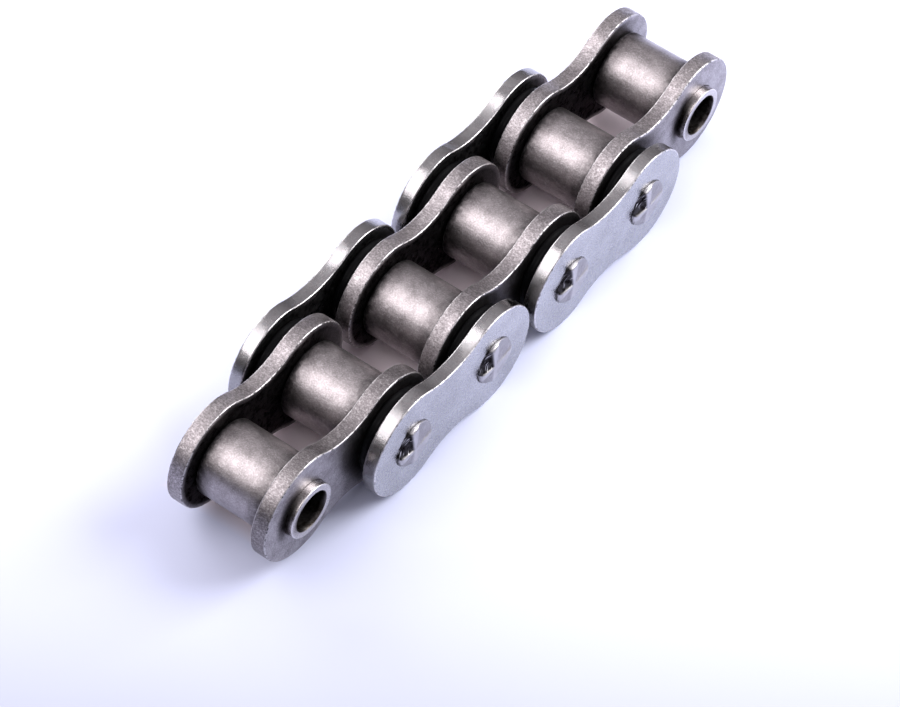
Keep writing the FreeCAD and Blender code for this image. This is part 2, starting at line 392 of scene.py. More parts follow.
class NodeBoard:
    """Writes a node tree from left to right, with short calls for the nodes that are used most.

    Attributes:
        holder: the material or world whose tree it is.
        tree: the node tree.
        output: the tree's output node.
    """

    def __init__(self, holder: bpy.types.Material | bpy.types.World) -> None:
        """Empties the tree and gives it a new output.

        Args:
            holder: the material or world to write.
        """
        holder.use_nodes = True
        self.holder = holder
        self.tree = holder.node_tree
        self.tree.nodes.clear()
        is_world = isinstance(holder, bpy.types.World)
        self.output = self.node("OutputWorld" if is_world else "OutputMaterial")

    def node(self, kind: str, **settings: object) -> bpy.types.Node:
        """Adds a node.

        Args:
            kind: the node's type, without its "ShaderNode" prefix.
            **settings: properties to set on it.

        Returns:
            bpy.types.Node: the new node.
        """
        made = self.tree.nodes.new("ShaderNode" + kind)
        for name, value in settings.items():
            setattr(made, name, value)
        return made

    def join(self, source: Socket, target: Socket) -> None:
        """Links an output socket to an input socket."""
        self.tree.links.new(source, target)

    def show(self, shader: bpy.types.Node) -> bpy.types.Material | bpy.types.World:
        """Links a shader to the output, and gives back the finished material or world."""
        self.join(shader.outputs[0], self.output.inputs["Surface"])
        return self.holder

    def millimetres(self, stretch: Sequence[float] = (1.0, 1.0, 1.0)) -> Socket:
        """Place on the object in millimetres.

        Args:
            stretch: factor on each axis; a factor under 1 draws the pattern out along that axis.

        Returns:
            Socket: the coordinates.
        """
        coordinates = self.node("TexCoord")
        mapping = self.node("Mapping")
        mapping.inputs["Scale"].default_value = [factor / MM for factor in stretch]
        self.join(coordinates.outputs["Object"], mapping.inputs["Vector"])
        return mapping.outputs["Vector"]

    def noise(self, where: Socket, pattern: Pattern) -> Socket:
        """Fractal noise, which is about 0.5 on average.

        Args:
            where: coordinates in millimetres.
            pattern: its scale, detail and roughness.

        Returns:
            Socket: the noise.
        """
        made = self.node("TexNoise")
        for name, number in (("Scale", pattern.scale), ("Detail", pattern.detail),
                             ("Roughness", pattern.roughness)):
            made.inputs[name].default_value = number
        self.join(where, made.inputs["Vector"])
        return made.outputs["Fac"]

    def spread(self, value: Socket, span: Span, result: Span = (0.0, 1.0),
               curve: str = "LINEAR") -> Socket:
        """Maps a span of values to another one, and holds it at both ends.

        Args:
            value: the value to map.
            span: the values that give the result's two ends.
            result: the result's two ends.
            curve: Blender's name of the way from one to the other.

        Returns:
            Socket: the mapped value.
        """
        made = self.node("MapRange", interpolation_type=curve)
        for name, number in zip(("From Min", "From Max", "To Min", "To Max"), (*span, *result)):
            made.inputs[name].default_value = number
        self.join(value, made.inputs["Value"])
        return made.outputs["Result"]

    def pattern(self, where: Socket, pattern: Pattern, result: Span = (0.0, 1.0)) -> Socket:
        """Noise of a pattern, mapped from the pattern's span to a result."""
        return self.spread(self.noise(where, pattern), pattern.span, result)

    def maths(self, operation: str, first: Socket | float, second: Socket | float) -> Socket:
        """Works out one number from two.

        Args:
            operation: Blender's name of the operation.
            first: a socket or a plain number.
            second: a socket or a plain number.

        Returns:
            Socket: the result.
        """
        made = self.node("Math", operation=operation)
        for socket, value in zip(made.inputs, (first, second)):
            if isinstance(value, (int, float)):
                socket.default_value = value
            else:
                self.join(value, socket)
        return made.outputs["Value"]

    def product(self, first: Socket | float, second: Socket | float) -> Socket:
        """Product of two numbers."""
        return self.maths("MULTIPLY", first, second)

    def mix(self, share: Socket, first: Socket | Colour, second: Socket | Colour,
            data_type: str = "RGBA") -> Socket:
        """Mixes two colours, or the numbers of two sockets.

        Args:
            share: how much of the second one shows.
            first: a socket or a plain colour.
            second: a socket or a plain colour.
            data_type: Blender's name of what is mixed.

        Returns:
            Socket: the mixture.
        """
        made = self.node("Mix", data_type=data_type)
        self.join(share, made.inputs["Factor"])
        for socket, value in ((made.inputs["A"], first), (made.inputs["B"], second)):
            if isinstance(value, Socket):
                self.join(value, socket)
            else:
                socket.default_value = (*value, 1.0)
        return made.outputs["Result"]

    def mark(self, name: str) -> Socket:
        """Mark of that name that a mesh carries at its vertices."""
        return self.node("Attribute", attribute_name=name).outputs["Fac"]

    def relief(self, shader: bpy.types.Node, height: Socket, depth: float) -> None:
        """Shades a surface as if it had relief.

        Args:
            shader: the surface's shader.
            height: the relief's height, about 0 to 1.
            depth: what a height of 1 stands for.
        """
        bump = self.node("Bump")
        bump.inputs["Strength"].default_value = 1.0
        bump.inputs["Distance"].default_value = depth
        self.join(height, bump.inputs["Height"])
        self.join(bump.outputs["Normal"], shader.inputs["Normal"])


@dataclass(frozen=True)
class SteelPatterns:
    """Patterns that every steel of the chain shows, and how they are used.

    Attributes:
        clouds: darker and lighter clouds, at the finish's own scale.
        grain: the grain, at the finish's own scale.
        fine: the speckle, at a finer scale.
        patches: smoother and rougher patches of a sheared edge, at the finish's own scale.
        rubbing: how far a corner is rubbed.
        least_rubbing: rubbing that is left in the least rubbed places, 0 to 1.
        nicks: nicks in the corners.
        film: how thick the dirt and the painted shade lie.
        film_gloss: how rough the dirt and the painted shade are.
        film_swing: how far that moves its roughness either way.
        gloss_span: grain at the smooth end and at the rough end.
        band_span: grain at the dark end and at the light end of a sheared edge.
        fleck_span: grain where bright flecks start, and where they are at their full strength.
        sparkle_span: speckle where bright points start, and where they are at full strength.
        dull_span: speckle where dark points start, and where they are at full strength.
        fine_depth: depth of the speckle, as a share of the grain's.
    """

    clouds: Pattern = Pattern(detail=5.0, span=(0.35, 0.62))
    grain: Pattern = Pattern(detail=6.0, roughness=0.68)
    fine: Pattern = Pattern(detail=3.0, roughness=0.6)
    patches: Pattern = Pattern(detail=2.0, span=(0.4, 0.6))
    rubbing: Pattern = Pattern(0.9, roughness=0.65, span=(0.36, 0.6))
    least_rubbing: float = 0.35
    nicks: Pattern = Pattern(2.4, detail=3.0, roughness=0.6, span=(0.47, 0.42))
    film: Pattern = Pattern(1.3, detail=5.0, span=(0.38, 0.6))
    film_gloss: Pattern = Pattern(2.0, detail=3.0)
    film_swing: float = 0.1
    gloss_span: Span = (0.3, 0.7)
    band_span: Span = (0.35, 0.65)
    fleck_span: Span = (0.54, 0.7)
    sparkle_span: Span = (0.5, 0.66)
    dull_span: Span = (0.5, 0.34)
    fine_depth: float = 0.4


@dataclass(frozen=True)
class SteelFinish:
    """Finish of one kind of steel.

    Attributes:
        tone: main colour.
        dark_tone: colour of the darker clouds.
        speckle: strength of the fine speckle, both its bright and its dark points, 0 to 1.
        thin_dirt: share of the dirt and painted shade that is left where they lie
        thinnest.
        clouds: number of clouds in a millimetre.
        flecks: brightness that the fine bright flecks add, 0 to 1.
        roughness: middle roughness.
        roughness_swing: how far the grain moves the roughness either way.
        grain: grain features in a millimetre.
        fineness: how many times finer the speckle is than the grain.
        grain_depth: depth of the grain that shades the surface.
        stretch: factors on the grain along x, y and z.
        band_tone: colour of a plate's sheared edge, for a steel that has one.
        band_roughness: middle roughness of that edge.
        band_patches: number of smoother and rougher patches along a millimetre of it.
        corner_tone: colour of the rubbed corners and of the bright flecks.
        corner_roughness: middle roughness of those corners.
        corner_dirt: how dirty the nicks are that break those corners, 0 to 1.
        grime_tone: colour of gathered oil and dirt, and of the shade painted with them.
        grime_edge_tint: tint of what that dirt and painted shade reflect at a flat angle.
        grime_roughness: middle roughness of that dirt and painted shade.
        patterns: the patterns of all these.
    """

    tone: Colour
    dark_tone: Colour
    speckle: float
    thin_dirt: float
    clouds: float = 0.6
    flecks: float = 0.3
    roughness: float = 0.36
    roughness_swing: float = 0.08
    grain: float = 5.0
    fineness: float = 2.0
    grain_depth: float = 0.012 * MM
    stretch: tuple[float, float, float] = (1.0, 1.0, 1.0)
    band_tone: Colour | None = None
    band_roughness: float = 0.4
    band_patches: float = 0.3
    corner_tone: Colour = (0.72, 0.7, 0.72)
    corner_roughness: float = 0.48
    corner_dirt: float = 0.0
    grime_tone: Colour = (0.0105, 0.0093, 0.0098)
    grime_edge_tint: Colour = (0.33, 0.315, 0.32)
    grime_roughness: float = 0.42
    patterns: SteelPatterns = SteelPatterns()

    def around(self, roughness: float) -> Span:
        """The least and the most that the grain makes of a middle roughness."""
        return roughness - self.roughness_swing, roughness + self.roughness_swing

    def material(self, name: str) -> bpy.types.Material:
        """Builds the material, from the bare steel up to the dirt and the painted shade on it.

        Args:
            name: the material's name.

        Returns:
            bpy.types.Material: a metal whose colour, roughness and relief come from its grain
            and from the marks on the mesh.
        """
        board = NodeBoard(bpy.data.materials.new(name))
        use = self.patterns
        where = board.millimetres()
        drawn = board.millimetres(self.stretch)
        grain = board.noise(drawn, use.grain.at(self.grain))
        fine = board.noise(drawn, use.fine.at(self.grain * self.fineness))
        colour = board.mix(board.pattern(where, use.clouds.at(self.clouds)), self.dark_tone, self.tone)
        rough = board.spread(grain, use.gloss_span, self.around(self.roughness))
        if self.band_tone is not None:
            band = board.mark("band")
            sheared = board.mix(board.spread(grain, use.band_span), self.dark_tone, self.band_tone)
            colour = board.mix(band, colour, sheared)
            uneven = board.pattern(where, use.patches.at(self.band_patches),
                                   self.around(self.band_roughness))
            rough = board.mix(band, rough, uneven, "FLOAT")
        for value, span, strength, tone in (
            (grain, use.fleck_span, self.flecks, self.corner_tone),
            (fine, use.sparkle_span, self.speckle, self.corner_tone),
            (fine, use.dull_span, self.speckle, self.grime_tone),
        ):
            colour = board.mix(board.product(board.spread(value, span), strength), colour, tone)
        edge = board.mark("edge")
        rubbed = board.product(edge, board.pattern(where, use.rubbing, (use.least_rubbing, 1.0)))
        colour = board.mix(rubbed, colour, self.corner_tone)
        scuffed = board.spread(grain, use.gloss_span, self.around(self.corner_roughness))
        rough = board.mix(rubbed, rough, scuffed, "FLOAT")
        # Oil, dirt and painted shade: where the mesh marks them, the steel turns to the dirt's colour,
        # grows rough and reflects less at a flat angle.
        film = board.product(board.mark("grime"), board.pattern(where, use.film, (self.thin_dirt, 1.0)))
        nicks = board.product(edge, board.pattern(where, use.nicks, (0.0, self.corner_dirt)))
        dirt = board.maths("MAXIMUM", film, nicks)
        colour = board.mix(dirt, colour, self.grime_tone)
        dull = board.pattern(where, use.film_gloss, (self.grime_roughness - use.film_swing,
                                                     self.grime_roughness + use.film_swing))
        rough = board.mix(dirt, rough, dull, "FLOAT")
        shader = board.node("BsdfPrincipled")
        shader.inputs["Metallic"].default_value = 1.0
        board.join(colour, shader.inputs["Base Color"])
        board.join(board.mix(dirt, WHITE, self.grime_edge_tint), shader.inputs["Specular Tint"])
        board.join(rough, shader.inputs["Roughness"])
        height = board.maths("ADD", grain, board.product(fine, use.fine_depth))
        board.relief(shader, height, self.grain_depth)
        return board.show(shader)


@dataclass(frozen=True)
class RubberFinish:
    """Finish of oily black rubber.

    Attributes:
        tone: main colour.
        dust_tone: colour where dust lies.
        dust: from the clean places to the dusty ones.
        dryness: from the oily places to the dry ones.
        roughness: roughness of the oily places and of the dry ones.
        gloss: strength of the reflections.
        ripples: unevenness of the surface.
        ripple_depth: its depth.
    """

    tone: Colour = (0.002, 0.002, 0.0025)
    dust_tone: Colour = (0.008, 0.008, 0.01)
    dust: Pattern = Pattern(6.0, detail=5.0, span=(0.55, 0.75))
    dryness: Pattern = Pattern(0.9, span=(0.35, 0.65))
    roughness: Span = (0.3, 0.57)
    gloss: float = 0.07
    ripples: Pattern = Pattern(4.0, detail=5.0)
    ripple_depth: float = 0.01 * MM

    def material(self, name: str) -> bpy.types.Material:
        """Builds the material.

        Args:
            name: the material's name.

        Returns:
            bpy.types.Material: black rubber with patches of oil that shine more.
        """
        board = NodeBoard(bpy.data.materials.new(name))
        where = board.millimetres()
        shader = board.node("BsdfPrincipled")
        shader.inputs["Specular IOR Level"].default_value = self.gloss
        board.join(board.mix(board.pattern(where, self.dust), self.tone, self.dust_tone),
                   shader.inputs["Base Color"])
        board.join(board.pattern(where, self.dryness, self.roughness), shader.inputs["Roughness"])
        board.relief(shader, board.noise(where, self.ripples), self.ripple_depth)
        return board.show(shader)


FINISHES: dict[Slot, SteelFinish | RubberFinish] = {
    Slot.INNER_PLATE: SteelFinish(
        tone=(0.325, 0.302, 0.313), dark_tone=(0.215, 0.195, 0.203), speckle=0.2, thin_dirt=0.9,
        grain=3.0, grain_depth=0.028 * MM, stretch=(1.0, 0.7, 1.0), band_tone=(0.355, 0.322, 0.333),
        band_roughness=0.41, corner_dirt=0.9),
    Slot.OUTER_PLATE: SteelFinish(
        tone=(0.42, 0.42, 0.43), dark_tone=(0.35, 0.35, 0.36), speckle=0.11, thin_dirt=0.75,
        clouds=0.3, flecks=0.18, roughness=0.27, grain=3.0, grain_depth=0.01 * MM,
        stretch=(1.0, 0.7, 1.0), band_tone=(0.3, 0.281, 0.286), band_roughness=0.23,
        corner_dirt=0.6),
    Slot.PIN: SteelFinish(
        tone=(0.42, 0.405, 0.42), dark_tone=(0.36, 0.345, 0.36), speckle=0.2, thin_dirt=0.9),
    Slot.BUSH: SteelFinish(
        tone=(0.5, 0.47, 0.47), dark_tone=(0.44, 0.41, 0.41), speckle=0.2, thin_dirt=0.85,
        flecks=0.2, roughness=0.25, grain=4.0, grain_depth=0.006 * MM, stretch=(1.0, 0.3, 1.0),
        grime_tone=(0.02, 0.016, 0.014)),
    Slot.ROLLER: SteelFinish(
        tone=(0.375, 0.341, 0.35), dark_tone=(0.28, 0.253, 0.26), speckle=0.17, thin_dirt=0.6,
        clouds=0.8, flecks=0.25, roughness=0.365, roughness_swing=0.05, grain=3.0,
        grain_depth=0.026 * MM, stretch=(1.0, 0.8, 1.0)),
    Slot.SEAL: RubberFinish(),
}


@dataclass
class Piece:
    """Piece of the chain that stands for one node.

    Attributes:
        slot: its material slot in the record, the same for all pieces of a kind.
        node: the node that the piece replaces.
        body: the body that it rides on.
        place: frame that its mesh is built in.
        material: its finish.
    """

    slot: ClassVar[Slot]
    node: str
    body: str
    place: Matrix
    material: bpy.types.Material

    def mesh(self) -> MeshData:
        """Mesh of the piece in its own frame."""
        raise NotImplementedError

    def build(self) -> None:
        """Makes the piece, dresses it and seats it on its body."""
        piece = self.mesh().to_object(self.node + "_looks", self.place)
        piece.data.materials.append(self.material)
        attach(piece, self.body)
        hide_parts(self.node)
        LOG.info("%s: %d faces on %s", piece.name, len(piece.data.polygons), self.body)


@dataclass
class Roller(Piece):
    """Roller between the inner plates.

    Attributes:
        segments: points round it.
        rim_fillet: radius of its rims.
        bore_fillet: radius of the edges of its bore.
        worn_half_width: half width of the middle band that sprocket teeth keep clean, outside which
            dirt and painted shade from the plates grow towards the rims.
        rim_grime: how dirty its rims are, with the shade of the plates painted on them, 0 to 1.
        spacing: longest distance between two points along it.
    """

    slot: ClassVar[Slot] = Slot.ROLLER
    segments: int = 128
    rim_fillet: float = 0.5 * MM
    bore_fillet: float = 0.12 * MM
    worn_half_width: float = 2.3 * MM
    rim_grime: float = 0.85
    spacing: float = 0.5 * MM

    def mesh(self) -> MeshData:
        """Builds the roller.

        Returns:
            MeshData: a ring with rounded rims, as wide and as large as the node's box.
        """
        low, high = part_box(self.node)
        half_width = (high.y - low.y) / 2
        radius = (high.z - low.z) / 2
        # Dirt and the shade of the plates are painted from the edges of the worn band out to the rims.
        section = rounded_section([
            Corner(SIZES.roller_bore_radius, -half_width, self.bore_fillet, self.rim_grime),
            Corner(radius, -half_width, self.rim_fillet, self.rim_grime),
            Corner(radius, -self.worn_half_width),
            Corner(radius, self.worn_half_width),
            Corner(radius, half_width, self.rim_fillet, self.rim_grime),
            Corner(SIZES.roller_bore_radius, half_width, self.bore_fillet, self.rim_grime),
        ], self.spacing)
        return revolve(section, self.segments)


@dataclass(frozen=True)
class Sector:
    """Sector round an axis, with soft sides.

    Attributes:
        middle: turn of its middle line, from +X towards +Z.
        half_width: turn from there to where it has faded by two thirds.
        fading: power of its fading; more keeps the middle whole and fades faster at the sides.
    """

    middle: float
    half_width: float
    fading: int = 4

    def share(self, across: float, up: float) -> float:
        """How far a direction lies inside the sector.

        Args:
            across: the direction's part along +X.
            up: its part along +Z.

        Returns:
            float: from 1 at the sector's middle line down to 0.
        """
        away = abs(math.atan2(up, across) - self.middle)
        away = min(away, 2 * math.pi - away) / self.half_width
        return math.exp(-away ** self.fading)


BUSH_DIRT_SECTOR = Sector(math.radians(160), math.radians(51))


@dataclass
class Bush(Piece):
    """Bush through both inner plates, with a bevelled mouth at each end.

    Attributes:
        link: the inner link that it belongs to.
        segments: points round it.
        rim_fillet: radius of its outer rims.
        mouth_bevel: width of the bevel at its mouths.
        mouth_fillet: radius between the bevel and the end.
        root_reach: how far dirt reaches out from the plate.
        root_grime: how dirty it is there, 0 to 1.
        bore_grime: how dirty its bore is, with the shade inside it painted on, 0 to 1.
        mouth_grime: how dirty its mouths are, with painted shade that dims their highlights,
            0 to 1.
        spacing: longest distance between two points along it.
    """

    slot: ClassVar[Slot] = Slot.BUSH
    link: int
    segments: int = 128
    rim_fillet: float = 0.14 * MM
    mouth_bevel: float = 0.1 * MM
    mouth_fillet: float = 0.05 * MM
    root_reach: float = 0.8 * MM
    root_grime: float = 1.0
    bore_grime: float = 1.0
    mouth_grime: float = 0.75
    spacing: float = 0.6 * MM

    def mesh(self) -> MeshData:
        """Builds the bush.

        Returns:
            MeshData: a tube as long as the node's box, grimy where it comes out of the plates, and
            dark in its bore with dirt and painted shade.
        """
        low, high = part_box(self.node)
        end = (high.y - low.y) / 2
        plate_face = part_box(f"far_inner_plate_{self.link}")[1].y
        bore, outer = SIZES.bush_bore_radius, SIZES.bush_radius
        mouth = bore + self.mouth_bevel
        wall_end = end - self.mouth_bevel
        caked, clean = plate_face + self.root_reach / 2, plate_face + self.root_reach
        section = rounded_section([
            Corner(outer, -end, self.rim_fillet),
            Corner(outer, -clean),
            Corner(outer, -caked, grime=self.root_grime),
            Corner(outer, caked, grime=self.root_grime),
            Corner(outer, clean),
            Corner(outer, end, self.rim_fillet),
            # The mouths and the bore are darkened with dirt and with painted shade inside the hole.
            Corner(mouth, end, self.mouth_fillet, self.mouth_grime),
            Corner(bore, wall_end, grime=self.bore_grime),
            Corner(bore, -wall_end, grime=self.bore_grime),
            Corner(mouth, -end, self.mouth_fillet, self.mouth_grime),
        ], self.spacing)
        data = revolve(section, self.segments)
        for index, point in enumerate(data.points):
            if math.hypot(point.x, point.z) > mouth:
                data.marks["grime"][index] *= BUSH_DIRT_SECTOR.share(point.x, point.z)
        return data


@dataclass
class RingSeal(Piece):
    """Rubber ring whose section has four lobes.

    Attributes:
        segments: points round it.
        section_steps: points round its section.
        lobe_depth: depth of the hollows between the lobes, as a share of the section's reach.
        lobe_reach: how far the lobes reach into the corners of a square whose half side is 1.
    """

    slot: ClassVar[Slot] = Slot.SEAL
    segments: int = 128
    section_steps: int = 48
    lobe_depth: float = 0.16
    lobe_reach: float = 1.22

    def mesh(self) -> MeshData:
        """Builds the seal.

        Returns:
            MeshData: a ring that fills the node's box, squared off and hollowed between its lobes.
        """
        low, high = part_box(self.node)
        radius = (high.z - low.z) / 2
        half_width = (radius - SIZES.seal_bore_radius) / 2
        half_thickness = (high.y - low.y) / 2
        middle_radius = SIZES.seal_bore_radius + half_width
        shape = []
        for step in range(self.section_steps):
            turn = 2 * math.pi * step / self.section_steps
            square = 1 / max(abs(math.cos(turn)), abs(math.sin(turn)))
            lobes = 1 - self.lobe_depth * (1 + math.cos(4 * turn)) / 2
            reach = min(square, self.lobe_reach) * lobes
            shape.append((math.cos(turn) * reach, math.sin(turn) * reach))
        widest = max(across for across, along in shape)
        section = [SectionPoint(middle_radius + half_width * across / widest,
                                half_thickness * along / widest) for across, along in shape]
        data = revolve(section, self.segments)
        middle = Vector((0, (low.y + high.y) / 2, 0))
        data.points = [point + middle for point in data.points]
        return data


@dataclass(frozen=True)
class Stake:
    """Dent that one point of the staking tool leaves in a quarter of a pin's end.

    Attributes:
        slope: slope of the dent's floor, away from the middle.
        depth: depth that the floor levels out at.
        grime: how dirty the dent is and how much shade is painted in it, 0 to 1.
    """

    slope: float
    depth: float
    grime: float


@dataclass
class StakedPin(Piece):
    """Pin whose two ends are flared and staked at four points, which leaves a raised cross.

    Attributes:
        off_centre: where the middle of the cross stands on the end.
        stakes: the dents, in order round the end from the quarter of +x and +z.
        segments: points round the pin.
        rings: rings from the middle of an end to its rim.
        flare_radius: radius of the flared head where it meets the plate.
        face_radius: radius where the head's rounded edge starts.
        head_height: height of the head above its widest place.
        head_curve: power of that edge's curve; 2 is an ellipse, and more is squarer.
        arm_half_width: half width of the cross's arms in the middle.
        arm_spread: how fast the arms widen outwards.
        arm_flank: slope of the arms' flanks, as depth over width.
        meeting_drop: how much of the lesser drop adds to the greater, where dent and edge meet.
        hammered: depth of the hammered marks in the dents.
        hammered_from: depth of dent from which those marks have their full depth.
        scuff_size: length and width of a hammered mark.
        fleck_from: noise of the marks above which they show as bright flecks.
        fleck_gain: how fast a fleck brightens above that.
        fleck_cleaning: how much dirt and painted shade a fleck takes away.
        polish: how bright the arms are rubbed, 0 to 1.
        polish_depth: depth below the arms' tops where that ends.
        polish_radius: distance from the middle where it has its full strength.
        dirt_flank: depth down a flank at which a dent has its full dirt and painted shade.
        edge_dirt: share of a dent's dirt and painted shade that always stays on the head's
            edge.
        neck_grime: how dirty the pin is between its heads, 0 to 1.
    """

    slot: ClassVar[Slot] = Slot.PIN
    off_centre: tuple[float, float]
    # The dent in the quarter of -x and +z is darkest: painted shade, with dirt.
    stakes: tuple[Stake, ...] = (
        Stake(math.radians(17), 0.5 * MM, 0.2), Stake(math.radians(44), 1.15 * MM, 1.0),
        Stake(math.radians(22), 0.45 * MM, 0.25), Stake(math.radians(9), 0.3 * MM, 0.0))
    segments: int = 176
    rings: int = 44
    flare_radius: float = 3.15 * MM
    face_radius: float = 2.35 * MM
    head_height: float = 0.55 * MM
    head_curve: float = 2.4
    arm_half_width: float = 0.1 * MM
    arm_spread: float = 0.13
    arm_flank: float = 1.5
    meeting_drop: float = 0.25
    hammered: float = 0.05 * MM
    hammered_from: float = 0.3 * MM
    scuff_size: tuple[float, float] = (0.9 * MM, 0.16 * MM)
    fleck_from: float = 0.32
    fleck_gain: float = 2.4
    fleck_cleaning: float = 2.0
    polish: float = 0.25
    polish_depth: float = 0.1 * MM
    polish_radius: float = 1.5 * MM
    dirt_flank: float = 0.25 * MM
    edge_dirt: float = 0.6
    neck_grime: float = 0.8

    def dent(self, across: float, up: float) -> tuple[float, float]:
        """Depth, and dirt with painted shade, of the dents at a point of the end.

        Args:
            across: distance from the arm that stands up, towards +x.
            up: distance from the arm that lies along the link, towards +z.

        Returns:
            tuple[float, float]: depth below the tops of the arms, and dirt with painted shade.
        """
        quarter = (0 if across > 0 else 1) if up > 0 else (3 if across > 0 else 2)
        stake = self.stakes[quarter]
        out = math.hypot(across, up)
        from_arm = min(abs(across), abs(up)) - self.arm_half_width - self.arm_spread * out
        if from_arm <= 0.0:
            return 0.0, 0.0
        floor = stake.depth * math.tanh((abs(across) + abs(up)) * math.tan(stake.slope)
                                        / (math.sqrt(2) * stake.depth))
        flank = from_arm * self.arm_flank
        depth = floor * flank / (floor + flank)
        return depth, stake.grime * min(1.0, flank / self.dirt_flank)

    def add_end_ring(self, data: MeshData, radius: float, sign: int, end: float) -> list[int]:
        """Adds one ring of vertices to an end face.

        Args:
            data: the mesh to add to.
            radius: the ring's radius.
            sign: -1 for the near end, 1 for the far end.
            end: distance of the middle of the cross from the middle plane.

        Returns:
            list[int]: the vertices' indices.
        """
        edge = max(0.0, (radius - self.face_radius) / (self.flare_radius - self.face_radius))
        rounded = self.head_height * (1 - math.sqrt(max(0.0, 1 - edge ** self.head_curve)))
        length, width = self.scuff_size
        seed = self.place.translation.x / MM + sign
        ring = []
        for across, up in circle(radius, self.segments):
            depth, dirt = self.dent(across - self.off_centre[0], up - self.off_centre[1])
            along, outward = (across + up) / math.sqrt(2), (up - across) / math.sqrt(2)
            scuff = noise.noise(Vector((along / length, outward / width, seed)))
            depth += self.hammered * scuff * min(1.0, depth / self.hammered_from)
            drop = max(0.0, depth, rounded) + self.meeting_drop * min(max(depth, 0.0), rounded)
            fleck = max(0.0, scuff - self.fleck_from) * self.fleck_gain * dirt
            bright = (max(0.0, 1 - depth / self.polish_depth)
                      * min(1.0, radius / self.polish_radius) * (1 - edge))
            ring.append(data.add(Vector((across, sign * (end - drop), up)),
                                 edge=min(1.0, self.polish * bright + fleck),
                                 grime=max(0.0, dirt - self.fleck_cleaning * fleck,
                                           self.edge_dirt * dirt * edge)))
        return ring

    def add_end(self, data: MeshData, sign: int, end: float) -> list[int]:
        """Adds one end face.

        Args:
            data: the mesh to add to.
            sign: -1 for the near end, 1 for the far end.
            end: distance of the middle of the cross from the middle plane.

        Returns:
            list[int]: vertex indices of the face's rim.
        """
        rings = [self.add_end_ring(data, self.flare_radius * index / self.rings, sign, end)
                 for index in range(1, self.rings + 1)]
        tip = data.add(Vector((0, sign * end, 0)))
        for step in range(self.segments):
            data.faces.append((tip, rings[0][step], rings[0][(step + 1) % self.segments]))
        for first, second in zip(rings, rings[1:]):
            data.join_rings(first, second)
        return rings[-1]

    def mesh(self) -> MeshData:
        """Builds the pin.

        Returns:
            MeshData: a closed pin as long as the node's box.
        """
        low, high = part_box(self.node)
        end = (high.y - low.y) / 2
        neck = end - SIZES.pin_stand_out - (self.flare_radius - SIZES.pin_radius)
        data = MeshData()
        last = self.add_end(data, Side.NEAR.value, end)
        for along in (-neck, 0.0, neck):
            ring = [data.add(Vector((x, along, z)), grime=self.neck_grime)
                    for x, z in circle(SIZES.pin_radius, self.segments)]
            data.join_rings(last, ring)
            last = ring
        data.join_rings(last, self.add_end(data, Side.FAR.value, end))
        return data


def arc_points(centre: Vector, radius: float, start: float, end: float, steps: int,
               outward: int) -> Iterator[tuple[Vector, Vector]]:
    """Points of one arc of an outline, without its last one.

    Args:
        centre: the arc's centre.
        radius: its radius.
        start: turn at which it starts.
        end: turn at which it ends.
        steps: number of chords in it.
        outward: 1 where the outline bulges, and -1 where it dips in.

    Yields:
        tuple[Vector, Vector]: each point, and the direction out of the outline there.
    """
    for step in range(steps):
        turn = start + (end - start) * step / steps
        direction = Vector((math.cos(turn), math.sin(turn)))
        yield centre + direction * radius, direction * outward


